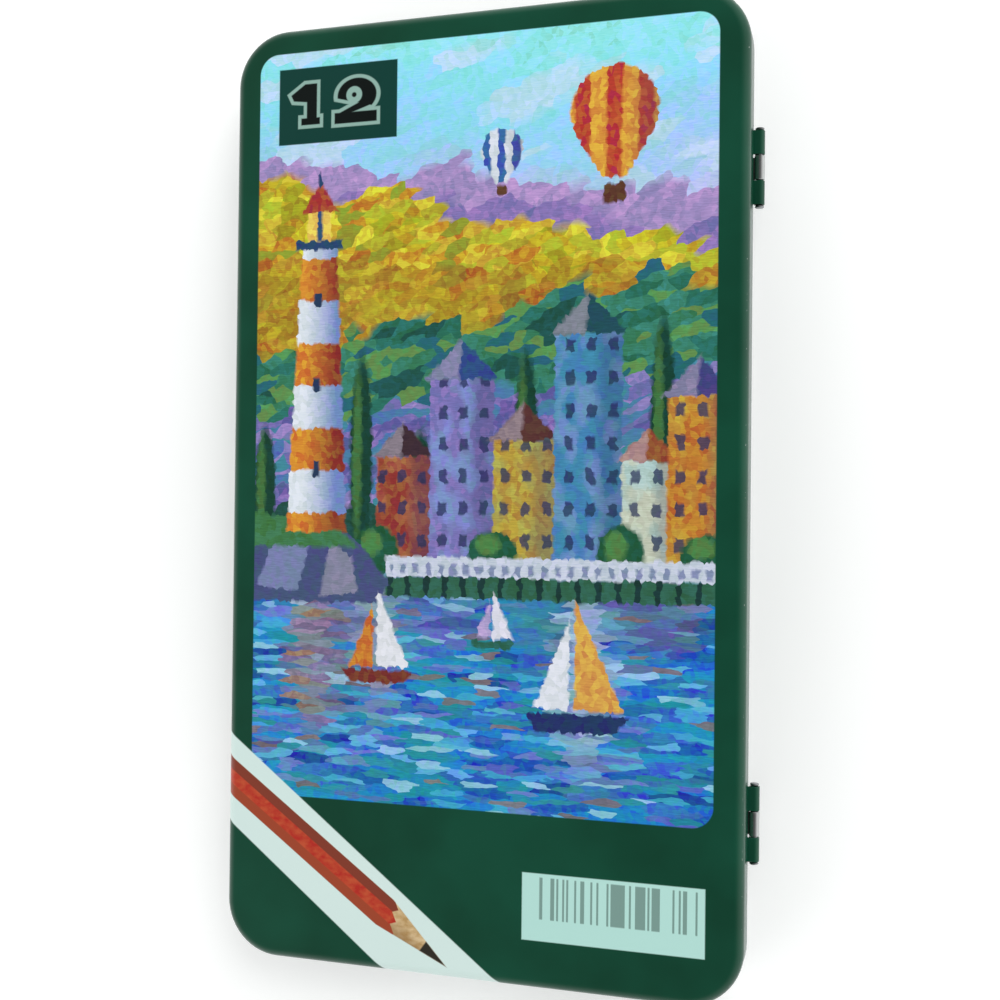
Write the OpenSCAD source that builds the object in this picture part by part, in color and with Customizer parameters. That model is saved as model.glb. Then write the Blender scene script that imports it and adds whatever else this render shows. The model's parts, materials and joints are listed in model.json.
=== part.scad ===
// Flat hinged tin for coloured pencils, with its inner tray and its twelve pencils.
// X runs across the width, from the opening edge to the hinge side. Y runs along the length,
// from the pencils' butts to their points. Z is up. The origin is the middle of the underside.
// The tin is sized from the inside out: pencils, tray, base, then the lid that closes over it.

/* [Pencils] */
// Length of a pencil, butt to point
pencil_length = 175; // [150:1:200]
// Largest diameter of a pencil, over its rounded corners
pencil_diameter = 7.5; // [6.5:0.05:8.5]
// How much the rounding takes off each corner of the hexagon
corner_trim = 0.16; // [0.1:0.02:0.3]
// Diameter of the coloured lead
lead_diameter = 3; // [2:0.1:4]
// Length of the sharpened cone
point_length = 21; // [15:1:28]
// Diameter of the blunted tip of the lead
tip_diameter = 0.5; // [0.3:0.1:1]
// Gap between neighbouring pencils
pencil_gap = 0.5; // [0.4:0.1:1]

/* [Inner tray] */
// Thickness of the formed plastic sheet
tray_sheet = 0.5; // [0.4:0.1:0.8]
// Radial clearance of a pencil in its channel
channel_clearance = 0.1; // [0.05:0.05:0.3]
// How far the ridges between channels stop below the pencils' axes
ridge_drop = 1.2; // [0.8:0.1:1.8]
// Room for a pencil to slide at each end of its channel
end_play = 1.5; // [1:0.5:3]
// Flat rim beside the outermost channels
side_rim = 2.6; // [2.4:0.1:4]
// Flat rim beyond the ends of the channels
end_rim = 3.5; // [3.4:0.1:6]
// Gap between the tray's rim and the wall of the base
tray_fit = 0.4; // [0.3:0.1:1]
// Gap between the tray's skirt and the bend round the base's floor
skirt_gap = 0.3; // [0.2:0.1:0.5]

/* [Tin] */
// Thickness of the tinplate
sheet = 0.3; // [0.2:0.05:0.4]
// Height of the closed tin
tin_height = 14; // [13:0.5:18]
// Depth of the lid, whose lower edge is level with the hinge pins
lid_depth = 7; // [6:0.5:8]
// How far the base wall reaches up inside the lid
neck_height = 5; // [3.5:0.5:5.5]
// Radius of the lid's corners, seen from above
corner_radius = 11; // [8:0.5:11.5]
// Radius of the bend between the lid's top and its skirt
lid_bend = 2; // [1:0.25:3]
// Radius of the bend between the base's floor and its wall
base_bend = 1.5; // [0.75:0.25:2.5]
// Height of the hem folded inside the lid's lower edge
hem_height = 1.5; // [1:0.25:2]
// Gap between the lid's hem and the base wall
lid_fit = 0.2; // [0.15:0.05:0.4]
// Free height between the pencils and the inside of the closed lid
headroom = 4.3; // [1.5:0.1:5]
// Diameter of the curl along the base's upper edge
curl_diameter = 0.9; // [0.7:0.1:1.1]
// Radius of the bead round the base on which the lid stops
stop_bead = 0.6; // [0.4:0.05:0.7]
// Gap between the stop bead and the closed lid
stop_gap = 0.1; // [0.05:0.05:0.3]
// Width of the break in the stop bead where a thumbnail lifts the lid
thumb_width = 22; // [15:1:30]
// Distance between the two snap dimples in the lid's opening edge
dimple_spacing = 90; // [60:1:120]
// Radius of the bump that a snap dimple makes inside the skirt
dimple_radius = 2; // [1.5:0.1:2.2]
// Depth of a snap dimple
dimple_depth = 0.28; // [0.2:0.02:0.28]

/* [Hinges] */
// Distance between the middles of the two hinges
hinge_spacing = 122; // [80:1:140]
// Length of one knuckle
knuckle_length = 4.5; // [3:0.5:7]
// Gap between neighbouring knuckles
knuckle_gap = 0.2; // [0.1:0.05:0.4]
// Diameter of the hinge pin
pin_diameter = 1.2; // [1:0.1:1.4]
// Radial clearance of the pin in the base's knuckle
pin_seat = 0.02; // [0.01:0.01:0.04]
// Radial clearance of the pin in the lid's knuckles
pin_fit = 0.06; // [0.05:0.01:0.1]
// Gap between the knuckles and the lid's skirt
hinge_gap = 0.15; // [0.12:0.01:0.3]
// How far the flattened ends of the pin stand past the pin's radius
head_lip = 0.25; // [0.15:0.05:0.3]
// Thickness of the pin's flattened ends
head_height = 0.4; // [0.3:0.1:0.6]

/* [Hidden] */
PENCILS = [
    ["yellow", "gold"],
    ["orange", "darkorange"],
    ["red", "red"],
    ["pink", "hotpink"],
    ["violet", "darkviolet"],
    ["dark_blue", "mediumblue"],
    ["light_blue", "deepskyblue"],
    ["light_green", "limegreen"],
    ["dark_green", "darkgreen"],
    ["brown", "saddlebrown"],
    ["black", "black"],
    ["white", "white"],
];

$fn = 64;
slack = 1;          // how far a cutting shape runs past what it cuts
bite = 0.02;        // how far two joined sheets sink into each other
glue_line = 0.02;   // between a lead and the wood round it

// Pencils
corner_r = pencil_diameter / 2;
hexagon_r = corner_r + corner_trim;
pencil_flats = 2 * hexagon_r * cos(30);
lead_r = lead_diameter / 2;
tip_r = tip_diameter / 2;
pencil_pitch = pencil_diameter + pencil_gap;
pencil_z = tin_height - sheet - headroom - pencil_flats / 2;
function pencil_x(i) = (i - (len(PENCILS) - 1) / 2) * pencil_pitch;

// Half sizes, from the tray outwards. The rounded corners all share their centres.
channel_r = corner_r + channel_clearance;
channel_half = pencil_length / 2 + end_play;
tray_half = [len(PENCILS) * pencil_pitch / 2 + side_rim, channel_half + end_rim];
lid_wall_gap = lid_fit + sheet;
base_half = [for (h = tray_half) h + tray_fit + sheet];
lid_half = [for (h = base_half) h + lid_wall_gap + sheet];
base_corner = corner_radius - lid_wall_gap - sheet;
tray_corner = base_corner - sheet - tray_fit;
ridge_z = pencil_z - ridge_drop;
skirt_inset = base_bend + skirt_gap;
skirt_half = [for (h = base_half) h - skirt_inset];
skirt_corner = base_corner - skirt_inset;

// Hinge
pin_r = pin_diameter / 2;
knuckle_r = pin_r + pin_fit + sheet;
hinge_z = tin_height - lid_depth;
hinge_x = lid_half[0] + hinge_gap + knuckle_r;
knuckle_step = knuckle_length + knuckle_gap;
pin_half = 1.5 * knuckle_length + 2 * knuckle_gap;
base_top = hinge_z + neck_height;

// ---------- shared shapes ----------

// Rounded rectangle with true arcs, reaching half[0] and half[1] from the middle.
module rounded_plate(half, r, height) {
    linear_extrude(height) {
        square([2 * half[0], 2 * (half[1] - r)], center = true);
        square([2 * (half[0] - r), 2 * half[1]], center = true);
        for (sx = [-1, 1], sy = [-1, 1])
            translate([sx * (half[0] - r), sy * (half[1] - r)]) circle(r);
    }
}

// Carries a wall profile round a rounded rectangle. The profile's x is measured outwards
// from the corner's centre, and its y is the height.
module carry_round(half, r) {
    for (k = [0 : 3]) {
        reach = half[k % 2] - r;
        run = half[(k + 1) % 2] - r;
        rotate(90 * k) translate([reach, run, 0]) {
            rotate_extrude(angle = 90) children();
            rotate([90, 0, 0]) linear_extrude(2 * run) children();
        }
    }
}

// Quarter of a closed box in section: square at its left and lower sides, with the upper
// right corner rounded.
module bent_section(width, height, bend) {
    square([width - bend, height]);
    square([width, height - bend]);
    translate([width - bend, height - bend]) circle(bend);
}

// Rod along Y, centred on y.
module rod(r, length, y = 0) {
    translate([0, y + length / 2, 0]) rotate([90, 0, 0]) cylinder(r = r, h = length);
}

// ---------- lid ----------

module lid_section() {
    difference() {
        translate([0, hinge_z]) bent_section(corner_radius, lid_depth, lid_bend);
        translate([0, hinge_z - slack])
            bent_section(corner_radius - sheet, lid_depth + slack - sheet, lid_bend - sheet);
        translate([-slack, hinge_z - slack]) square([slack, lid_depth + 2 * slack]);
    }
    translate([corner_radius - 2 * sheet, hinge_z]) square([sheet + bite, hem_height]);
}

module lid_panel() {
    inset = corner_radius;
    translate([-(lid_half[0] - inset), -(lid_half[1] - inset), tin_height - sheet])
        cube([2 * (lid_half[0] - inset), 2 * (lid_half[1] - inset), sheet]);
}

// Places its children at both snap dimples, on the outer face of the skirt, with Z inwards.
module at_dimples() {
    for (side = [-1, 1])
        translate([-lid_half[0], side * dimple_spacing / 2, hinge_z + hem_height + dimple_radius])
            rotate([0, 90, 0]) children();
}

module dimple_bumps() {
    at_dimples() translate([0, 0, sheet - bite])
        cylinder(r1 = dimple_radius, r2 = dimple_radius - dimple_depth, h = bite + dimple_depth);
}

module dimple_hollows() {
    floor_r = dimple_radius - 2 * dimple_depth;
    depth = slack + dimple_depth;
    at_dimples() translate([0, 0, -slack]) cylinder(r1 = floor_r + depth, r2 = floor_r, h = depth);
}

module lid_knuckles() {
    for (side = [-1, 1], end = [-1, 1])
        translate([hinge_x, side * hinge_spacing / 2 + end * knuckle_step, hinge_z]) {
            rod(knuckle_r, knuckle_length);
            translate([-hinge_gap - knuckle_r - sheet / 2, -knuckle_length / 2, knuckle_r - sheet - bite])
                cube([hinge_gap + knuckle_r + sheet / 2, knuckle_length, sheet]);
        }
}

module lid() {
    color("darkgreen") difference() {
        union() {
            carry_round(lid_half, corner_radius) lid_section();
            lid_panel();
            lid_knuckles();
            dimple_bumps();
        }
        dimple_hollows();
        for (side = [-1, 1])
            translate([hinge_x, side * hinge_spacing / 2, hinge_z])
                rod(pin_r + pin_fit, 2 * (pin_half + slack));
    }
}

// ---------- base ----------

module base_section() {
    difference() {
        translate([0, base_top]) mirror([0, 1]) bent_section(base_corner, base_top, base_bend);
        translate([0, base_top + slack]) mirror([0, 1])
            bent_section(base_corner - sheet, base_top + slack - sheet, base_bend - sheet);
        translate([-slack, -slack]) square([slack, base_top + 2 * slack]);
    }
    translate([base_corner - curl_diameter / 2, base_top - curl_diameter / 2])
        circle(curl_diameter / 2);
}

module stop_bead_section() {
    intersection() {
        translate([base_corner, hinge_z - stop_gap - stop_bead]) circle(stop_bead);
        translate([base_corner - sheet / 2, 0]) square([sheet + stop_bead, hinge_z]);
    }
}

module base_floor() {
    inset = base_corner;
    translate([-(base_half[0] - inset), -(base_half[1] - inset), 0])
        cube([2 * (base_half[0] - inset), 2 * (base_half[1] - inset), sheet]);
}

// Leaves the front of the stop bead away, down to the wall, so that a nail reaches the lid.
module thumb_break() {
    translate([-base_half[0] - 2 * stop_bead, -thumb_width / 2, hinge_z - stop_gap - 3 * stop_bead])
        cube([2 * stop_bead, thumb_width, 3 * stop_bead + stop_gap]);
}

module base_knuckles() {
    for (side = [-1, 1])
        translate([hinge_x, side * hinge_spacing / 2, hinge_z]) {
            rod(knuckle_r, knuckle_length);
            reach = hinge_x - base_half[0] + sheet / 2;
            translate([-reach, -knuckle_length / 2, bite - knuckle_r])
                cube([reach, knuckle_length, sheet]);
        }
}

module base() {
    color("silver") difference() {
        union() {
            carry_round(base_half, base_corner) base_section();
            base_floor();
            difference() {
                carry_round(base_half, base_corner) stop_bead_section();
                thumb_break();
            }
            base_knuckles();
        }
        for (side = [-1, 1])
            translate([hinge_x, side * hinge_spacing / 2, hinge_z])
                rod(pin_r + pin_seat, 2 * (pin_half + slack));
    }
}

// ---------- hinge pins ----------

// Wire pin with both ends flattened, so that it stays in its knuckles.
module hinge_pin(side) {
    color("gainsboro") translate([hinge_x, side * hinge_spacing / 2, hinge_z]) {
        rod(pin_r, 2 * pin_half);
        for (end = [-1, 1]) rod(pin_r + head_lip, head_height, end * (pin_half + head_height / 2));
    }
}

// ---------- inner tray ----------

module tray_skirt() {
    height = ridge_z - sheet;
    inner_half = [for (h = skirt_half) h - tray_sheet];
    translate([0, 0, sheet]) difference() {
        rounded_plate(skirt_half, skirt_corner, height);
        translate([0, 0, -slack])
            rounded_plate(inner_half, skirt_corner - tray_sheet, height + 2 * slack);
    }
}

module tray_channels(r, half_length) {
    for (i = [0 : len(PENCILS) - 1])
        translate([pencil_x(i), 0, pencil_z]) rod(r, 2 * half_length);
}

module inner_tray() {
    color("whitesmoke") difference() {
        union() {
            tray_skirt();
            translate([0, 0, ridge_z - tray_sheet]) rounded_plate(tray_half, tray_corner, tray_sheet);
            intersection() {
                tray_channels(channel_r + tray_sheet, channel_half + tray_sheet);
                rounded_plate(tray_half, tray_corner, ridge_z - bite);
            }
        }
        tray_channels(channel_r, channel_half);
    }
}

// ---------- pencils ----------

// Lays a pencil drawn upwards from its butt along its channel.
module in_channel(i) {
    translate([pencil_x(i), -pencil_length / 2, pencil_z]) rotate([-90, 0, 0]) children();
}

// Round bar sharpened to the tip, within which the pencil lies. It starts at radius r.
module sharpened_bar(r) {
    cone_start = pencil_length - point_length * (r - tip_r) / (corner_r - tip_r);
    rotate_extrude()
        polygon([[0, 0], [r, 0], [r, cone_start], [tip_r, pencil_length], [0, pencil_length]]);
}

module pencil_casing(i) {
    color(PENCILS[i][1]) in_channel(i) difference() {
        intersection() {
            linear_extrude(pencil_length) circle(hexagon_r, $fn = 6);
            sharpened_bar(corner_r);
        }
        translate([0, 0, -slack]) cylinder(r = lead_r + glue_line, h = pencil_length + 2 * slack);
    }
}

module pencil_lead(i) {
    color(PENCILS[i][1]) in_channel(i) sharpened_bar(lead_r);
}

lid();
base();
inner_tray();
hinge_pin(1);  // upper_hinge_pin
hinge_pin(-1);  // lower_hinge_pin
for (i = [0 : len(PENCILS) - 1]) {
    pencil_casing(i);
    pencil_lead(i);
}
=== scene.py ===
# %% [markdown]
# # A coloured pencil tin
# This lesson dresses a flat hinged tin for twelve coloured pencils. The measured solids of the tin
# come first, as a frame that is never moved. Each piece is then made again as a finer surface in
# the same place: the pressed and hemmed lid, the base with its curled edge, the formed plastic
# tray, the rolled hinge knuckles, and the pencils with their scalloped lacquer.

# %% Load the frame
import json

import bpy
import numpy as np
from mathutils import Matrix, Vector

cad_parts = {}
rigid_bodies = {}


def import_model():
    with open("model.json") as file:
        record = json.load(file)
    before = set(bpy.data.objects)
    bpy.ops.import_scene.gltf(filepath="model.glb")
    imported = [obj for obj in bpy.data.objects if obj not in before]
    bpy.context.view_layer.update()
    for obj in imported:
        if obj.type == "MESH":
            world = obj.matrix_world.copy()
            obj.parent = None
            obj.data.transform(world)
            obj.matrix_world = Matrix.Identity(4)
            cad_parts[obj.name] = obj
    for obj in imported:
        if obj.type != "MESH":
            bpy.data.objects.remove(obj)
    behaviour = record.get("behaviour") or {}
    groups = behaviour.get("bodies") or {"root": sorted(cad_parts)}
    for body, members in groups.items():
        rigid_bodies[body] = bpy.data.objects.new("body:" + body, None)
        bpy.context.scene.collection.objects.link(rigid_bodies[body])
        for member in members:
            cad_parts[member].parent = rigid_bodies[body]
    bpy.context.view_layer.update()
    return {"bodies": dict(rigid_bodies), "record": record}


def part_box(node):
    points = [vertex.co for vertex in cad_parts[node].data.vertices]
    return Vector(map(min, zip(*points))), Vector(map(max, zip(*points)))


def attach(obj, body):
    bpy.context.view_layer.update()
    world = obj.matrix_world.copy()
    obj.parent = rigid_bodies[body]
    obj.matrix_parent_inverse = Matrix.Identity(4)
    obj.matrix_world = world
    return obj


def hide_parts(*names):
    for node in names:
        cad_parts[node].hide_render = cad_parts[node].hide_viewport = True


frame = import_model()
MM = 0.001
COLOURS = [name.removesuffix("_pencil") for name in frame["bodies"] if name.endswith("_pencil")]
print("pencils:", COLOURS)

# %% [markdown]
# ## Sizes
# The sizes come from the frame where a box gives them. The others are what a tinsmith would
# write on the drawing: the sheet's thickness, the radius of a corner, the height of the base's
# rib, and how far the base's wall steps in from the lid's. Everything is in millimetres here, and
# becomes metres when a mesh is made.

# %% Sizes of the tin


def box_mm(node):
    """Lowest and highest corner of a node, in millimetres."""
    return [np.array(corner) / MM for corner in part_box(node)]


lid_low, lid_high = box_mm("lid")
base_low, base_high = box_mm("base")
tray_low, tray_high = box_mm("inner_tray")
pin_low, pin_high = box_mm("upper_hinge_pin")

SHEET = 0.3
HEIGHT = lid_high[2]
LID_HALF = np.array([-lid_low[0], lid_high[1]])
LID_CORNER = 11.0
LID_BEND = 2.0
RIB = 0.6
STEP_IN = 0.8
BASE_HALF = np.array([-base_low[0] - RIB, base_high[1] - RIB])
BASE_CORNER = LID_CORNER - STEP_IN
BASE_BEND = 1.5
BASE_TOP = base_high[2]
TRAY_HALF = np.array([tray_high[0], tray_high[1]])
TRAY_CORNER = TRAY_HALF[0] - (BASE_HALF[0] - BASE_CORNER)
HINGE = [(pin_low[0] + pin_high[0]) / 2, (pin_low[2] + pin_high[2]) / 2]
HINGE_Y = [(box_mm(f"{name}_hinge_pin")[0][1] + box_mm(f"{name}_hinge_pin")[1][1]) / 2
           for name in ("lower", "upper")]
print("lid half size", LID_HALF.round(2), "base half size", BASE_HALF.round(2))
print("hinge axis x, z", np.round(HINGE, 2), "at y", np.round(HINGE_Y, 2))

# %% [markdown]
# ## Surfaces from grids
# Every new piece is a grid of points: one direction runs round or along the piece, the other
# follows its profile. Neighbouring points make four-sided faces, so the whole shape is a formula
# worked out for all points at once, and the same few helpers serve every piece.

# %% Helpers: from a grid of points to a mesh


def cells(rows, columns, wrap_rows=False, wrap_columns=False):
    """The four corners of every cell of a grid whose points are numbered row by row."""
    i = np.arange(rows if wrap_rows else rows - 1)[:, None]
    j = np.arange(columns if wrap_columns else columns - 1)[None, :]
    next_i, next_j = (i + 1) % rows, (j + 1) % columns
    here, below = i * columns, next_i * columns
    corners = np.broadcast_arrays(here + j, here + next_j, below + next_j, below + j)
    return np.stack([corner.ravel() for corner in corners], axis=1)


def piece(name, points, faces, materials, slots=None, smooth=True):
    """A mesh object at the origin from points in millimetres and rings of corner numbers."""
    mesh = bpy.data.meshes.new(name)
    metres = np.asarray(points).reshape(-1, 3) * MM
    mesh.from_pydata(metres.tolist(), [], [list(face) for face in faces])
    for material in materials:
        mesh.materials.append(material)
    if slots is not None:
        mesh.polygons.foreach_set("material_index", np.asarray(slots, dtype=np.int32))
    mesh.polygons.foreach_set("use_smooth", np.full(len(mesh.polygons), smooth))
    mesh.validate()
    mesh.update()
    made = bpy.data.objects.new(name, mesh)
    bpy.context.scene.collection.objects.link(made)
    print(f"{name}: {len(mesh.vertices)} points, {len(mesh.polygons)} faces")
    return made


def arc(centre, radius, start, end, steps=8):
    """Points of an arc: centre plus radius times (cosine, sine) of the angle, in degrees."""
    angle = np.radians(np.linspace(start, end, steps + 1))[:, None]
    return np.array(centre) + radius * np.hstack([np.cos(angle), np.sin(angle)])


def stations(start, end, step, *dense):
    """Places along a straight run, one per step, and closer together round each dense place."""
    places = [np.linspace(start, end, int(abs(end - start) / step) + 2)]
    for middle, reach, fine in dense:
        places.append(np.arange(middle - reach, middle + reach + fine / 2, fine))
    places = np.unique(np.concatenate(places).round(4))
    return places[(places >= start) & (places <= end)]


# %% Helper: round a rectangle with rounded corners


def walk_round(half, corner, along_x, along_y, corner_steps=14):
    """Anticlockwise round a rounded rectangle: for each step, the nearest point of the inner
    rectangle that joins the corners' centres, and the direction that points straight outwards.
    A point of the outline is the first plus the corner's radius times the second."""
    core = np.array(half) - corner
    turn = np.radians(np.linspace(0, 90, corner_steps + 1))
    middle, outward = [], []
    for quarter, run in enumerate([along_y, along_x[::-1], along_y[::-1], along_x]):
        facing = np.radians(90 * quarter)
        side = np.array([np.cos(facing), np.sin(facing)])
        run = run[1:-1]
        fixed = np.full(len(run), core[quarter % 2]) * side[quarter % 2]
        straight = np.stack([fixed, run] if quarter % 2 == 0 else [run, fixed], axis=1)
        signs = np.array([[1, 1], [-1, 1], [-1, -1], [1, -1]])[quarter]
        middle += [straight, np.tile(core * signs, (len(turn), 1))]
        outward += [np.tile(side, (len(run), 1)),
                    np.stack([np.cos(facing + turn), np.sin(facing + turn)], axis=1)]
    return np.concatenate(middle), np.concatenate(outward)


def carry(path, corner, profile):
    """Carries a profile of (distance in from the outline, height) round a path of walk_round.
    Grid point [i, j] is middle[i] + (corner - distance[j]) * outward[i], at height[j]."""
    middle, outward = path
    reach = corner - profile[:, 0]
    flat = middle[:, None, :] + reach[None, :, None] * outward[:, None, :]
    height = np.broadcast_to(profile[:, 1], flat.shape[:2])
    return np.concatenate([flat, height[..., None]], axis=2)


def closed_shell(grid):
    """Faces of a grid that closes round its rows: the cells, then one many-sided face that
    fills the first ring of the profile and one that fills the last."""
    rows, columns = grid.shape[:2]
    ring = np.arange(rows) * columns
    return [*cells(rows, columns, wrap_rows=True), ring, (ring + columns - 1)[::-1]]


trial = walk_round((10, 10), 2, np.linspace(-8, 8, 5), np.linspace(-8, 8, 5))
print("steps round a 20 mm square with rounded corners:", len(trial[0]))

# %% [markdown]
# ## Writing patterns as shader nodes
# A printed picture, wood grain or rolled metal is a formula of the place on the piece. Building
# such formulas by hand in the node editor is slow, so a small brush class adds one node per call
# and hands back its output, which the next call can use.

# %% Helper: a colour


def tint(code):
    """A colour as it looks on a screen, such as "#0B4B38", as linear light."""
    channels = np.array([int(code[k:k + 2], 16) for k in (1, 3, 5)]) / 255
    linear = np.where(channels <= 0.04045, channels / 12.92, ((channels + 0.055) / 1.055) ** 2.4)
    return (*linear.tolist(), 1.0)


print("a mid grey as linear light:", np.round(tint("#808080")[:3], 3))

# %% Helper: a brush that writes shader nodes


class Brush:
    """Adds shader nodes to a tree. Each method hands back an output for the next one."""

    def __init__(self, tree):
        self.tree = tree

    def node(self, kind, inputs, output=0, **settings):
        """Any node: its settings, then its inputs as numbers, colours or other outputs."""
        made = self.tree.nodes.new("ShaderNode" + kind)
        for key, value in settings.items():
            setattr(made, key, value)
        for key, value in inputs.items():
            if isinstance(value, bpy.types.NodeSocket):
                self.tree.links.new(value, made.inputs[key])
            else:
                made.inputs[key].default_value = value
        return made.outputs[output]

    def math(self, operation, a, b=0.0, c=0.0, clamp=False):
        return self.node("Math", {0: a, 1: b, 2: c}, operation=operation, use_clamp=clamp)

    def vector(self, operation, a, b=(0, 0, 0), c=(0, 0, 0)):
        inputs = {0: a} if operation in ("LENGTH", "ABSOLUTE") else {0: a, 1: b}
        if operation == "MULTIPLY_ADD":
            inputs[2] = c
        output = 1 if operation in ("LENGTH", "DOT_PRODUCT") else 0
        return self.node("VectorMath", inputs, output, operation=operation)

    def part(self, place, which):
        """x, y or z of a place, for which = 0, 1 or 2."""
        return self.node("SeparateXYZ", {0: place}, which)

    def mix(self, factor, under, over, blend="MIX"):
        inputs = {0: factor, 6: under, 7: over}
        return self.node("Mix", inputs, 2, data_type="RGBA", blend_type=blend)

    def noise(self, place, scale, detail=2.0, roughness=0.5, dimensions="3D"):
        where = "W" if dimensions == "1D" else "Vector"
        inputs = {where: place, "Scale": scale, "Detail": detail, "Roughness": roughness}
        return self.node("TexNoise", inputs, noise_dimensions=dimensions)

    def spots(self, place, scale, detail=1.0, roughness=0.5):
        """Flat noise whose spots are stretched by a pair of scales, across and up."""
        spread = self.vector("MULTIPLY", place, (*scale, 0))
        return self.noise(spread, 1.0, detail, roughness, "2D")

    def ramp(self, factor, colours, sharp=False):
        """Spreads colours evenly from 0 to 1, with steps between them if sharp."""
        made = self.tree.nodes.new("ShaderNodeValToRGB")
        made.color_ramp.interpolation = "CONSTANT" if sharp else "LINEAR"
        stops = made.color_ramp.elements
        last = len(colours) if sharp else len(colours) - 1
        for k, code in enumerate(colours):
            stop = stops[k] if k < 2 else stops.new(k / last)
            stop.position = k / last
            stop.color = tint(code)
        self.tree.links.new(factor, made.inputs[0])
        return made.outputs[0]

    def rescale(self, value, low, high, to_low=0.0, to_high=1.0):
        """Moves a value from one range to another and keeps it inside."""
        inputs = {"Value": value, "From Min": low, "From Max": high,
                  "To Min": to_low, "To Max": to_high}
        return self.node("MapRange", inputs, clamp=True)


# %% Helpers: a finish, the place and the relief


def finish(name, make, **settings):
    """A material: settings go to the shader's own sockets, make(brush, shader) adds patterns."""
    material = bpy.data.materials.new(name)
    material.use_nodes = True
    shader = material.node_tree.nodes["Principled BSDF"]
    for key, value in settings.items():
        shader.inputs[key.replace("_", " ")].default_value = value
    brush = Brush(material.node_tree)
    make(brush, shader)
    return material


def connect(brush, shader, **outputs):
    """Links outputs to the shader's sockets by name."""
    for key, value in outputs.items():
        brush.tree.links.new(value, shader.inputs[key.replace("_", " ")])


def place_mm(brush):
    """The place on the piece at rest, in millimetres."""
    coordinates = brush.node("TexCoord", {}, 3)
    return brush.vector("MULTIPLY", coordinates, (1000, 1000, 1000))


def bump(brush, height, depth_mm):
    """A relief: height from 0 to 1 stands for a depth in millimetres."""
    return brush.node("Bump", {"Strength": 1.0, "Distance": depth_mm * MM, "Height": height})


# %% [markdown]
# ## Bare metals
# Tinplate is steel with a thin coat of tin. It is rolled, so its shine is drawn out in fine lines
# along the sheet, and it keeps faint scratches. Stretching a noise along one axis gives the lines.

# %% Finish: tinplate and pin steel


def rolled_metal(brush, shader):
    """Fine lines along Y from stretched noise, with a few cloudy spots on top."""
    place = place_mm(brush)
    lines = brush.noise(brush.vector("MULTIPLY", place, (9.0, 0.12, 9.0)), 1.0, 3.0)
    cloud = brush.noise(place, 0.09, 3.0)
    shade = brush.mix(brush.math("MULTIPLY", lines, 0.5), tint("#C9CBCA"), tint("#B3B6B6"))
    shade = brush.mix(brush.rescale(cloud, 0.35, 0.7, 0.0, 0.35), shade, tint("#A9AEAE"))
    connect(brush, shader, Base_Color=shade, Roughness=brush.math("MULTIPLY_ADD", lines, 0.16, 0.2),
            Normal=bump(brush, lines, 0.004))


def drawn_wire(brush, shader):
    """Wire pulled through a die: fine rings of grey round the pin."""
    place = place_mm(brush)
    rings = brush.noise(brush.vector("MULTIPLY", place, (2.0, 30.0, 2.0)), 1.0, 2.0)
    connect(brush, shader, Base_Color=brush.mix(rings, tint("#A7A8AA"), tint("#8B8D90")),
            Roughness=brush.math("MULTIPLY_ADD", rings, 0.15, 0.25))


tinplate = finish("bare_tinplate", rolled_metal, Metallic=1.0)
pin_steel = finish("pin_steel", drawn_wire, Metallic=1.0)
print("nodes in the tinplate:", len(tinplate.node_tree.nodes))

# %% [markdown]
# ## Plastic, lacquer, wood and lead
# The tray is smooth white sheet with a faint bloom. The pencils were dipped in lacquer: the
# grain of the wood still shows through as long fine ridges, and the lacquer set with a slight
# orange peel. The sharpened cone is bare wood, with its grain along the pencil and fine rings from
# the sharpener, and the lead is wax and pigment, duller and a little grainy.

# %% Patterns: plastic and lacquer


def smooth_plastic(brush, shader):
    """White sheet with a faint cloudy bloom and a soft unevenness from the mould."""
    place = place_mm(brush)
    bloom = brush.noise(place, 0.06, 3.0)
    grain = brush.noise(place, 3.0, 2.0)
    connect(brush, shader, Base_Color=brush.mix(bloom, tint("#EDEFEC"), tint("#DDE1E0")),
            Roughness=brush.math("MULTIPLY_ADD", bloom, 0.25, 0.14),
            Normal=bump(brush, grain, 0.006))


def dipped_lacquer(colour):
    """Lacquer of one colour over long fine ridges of grain, with a slight orange peel."""
    darker = [0.8 * channel for channel in colour[:3]] + [1.0]

    def make(brush, shader):
        place = place_mm(brush)
        ridges = brush.noise(brush.vector("MULTIPLY", place, (2.4, 0.07, 2.4)), 1.0, 4.0, 0.6)
        peel = brush.noise(place, 1.3, 2.0)
        shade = brush.mix(brush.rescale(ridges, 0.35, 0.7), colour, darker)
        relief = brush.math("MULTIPLY_ADD", peel, 0.6, ridges)
        connect(brush, shader, Base_Color=shade, Normal=bump(brush, relief, 0.035),
                Roughness=brush.math("MULTIPLY_ADD", peel, 0.16, 0.14))
    return make


# %% Patterns: wood and lead


def cut_wood(brush, shader):
    """Pale wood: grain stretched along the pencil, pores, and the sharpener's rings."""
    place = place_mm(brush)
    grain = brush.noise(brush.vector("MULTIPLY", place, (3.0, 0.22, 3.0)), 1.0, 5.0, 0.6)
    pores = brush.noise(brush.vector("MULTIPLY", place, (9.0, 1.1, 9.0)), 1.0, 2.0)
    rings = brush.noise(brush.vector("MULTIPLY", place, (0.6, 7.0, 0.6)), 1.0, 2.0)
    shade = brush.ramp(brush.rescale(grain, 0.3, 0.7), ["#E7C79C", "#D9B183", "#C0915F", "#DDB98C"])
    shade = brush.mix(brush.rescale(pores, 0.6, 0.75, 0.0, 0.5), shade, tint("#A4754A"))
    relief = brush.math("MULTIPLY_ADD", rings, 0.7, grain)
    connect(brush, shader, Base_Color=shade, Roughness=brush.math("MULTIPLY_ADD", grain, 0.3, 0.5),
            Normal=bump(brush, relief, 0.06))


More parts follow.
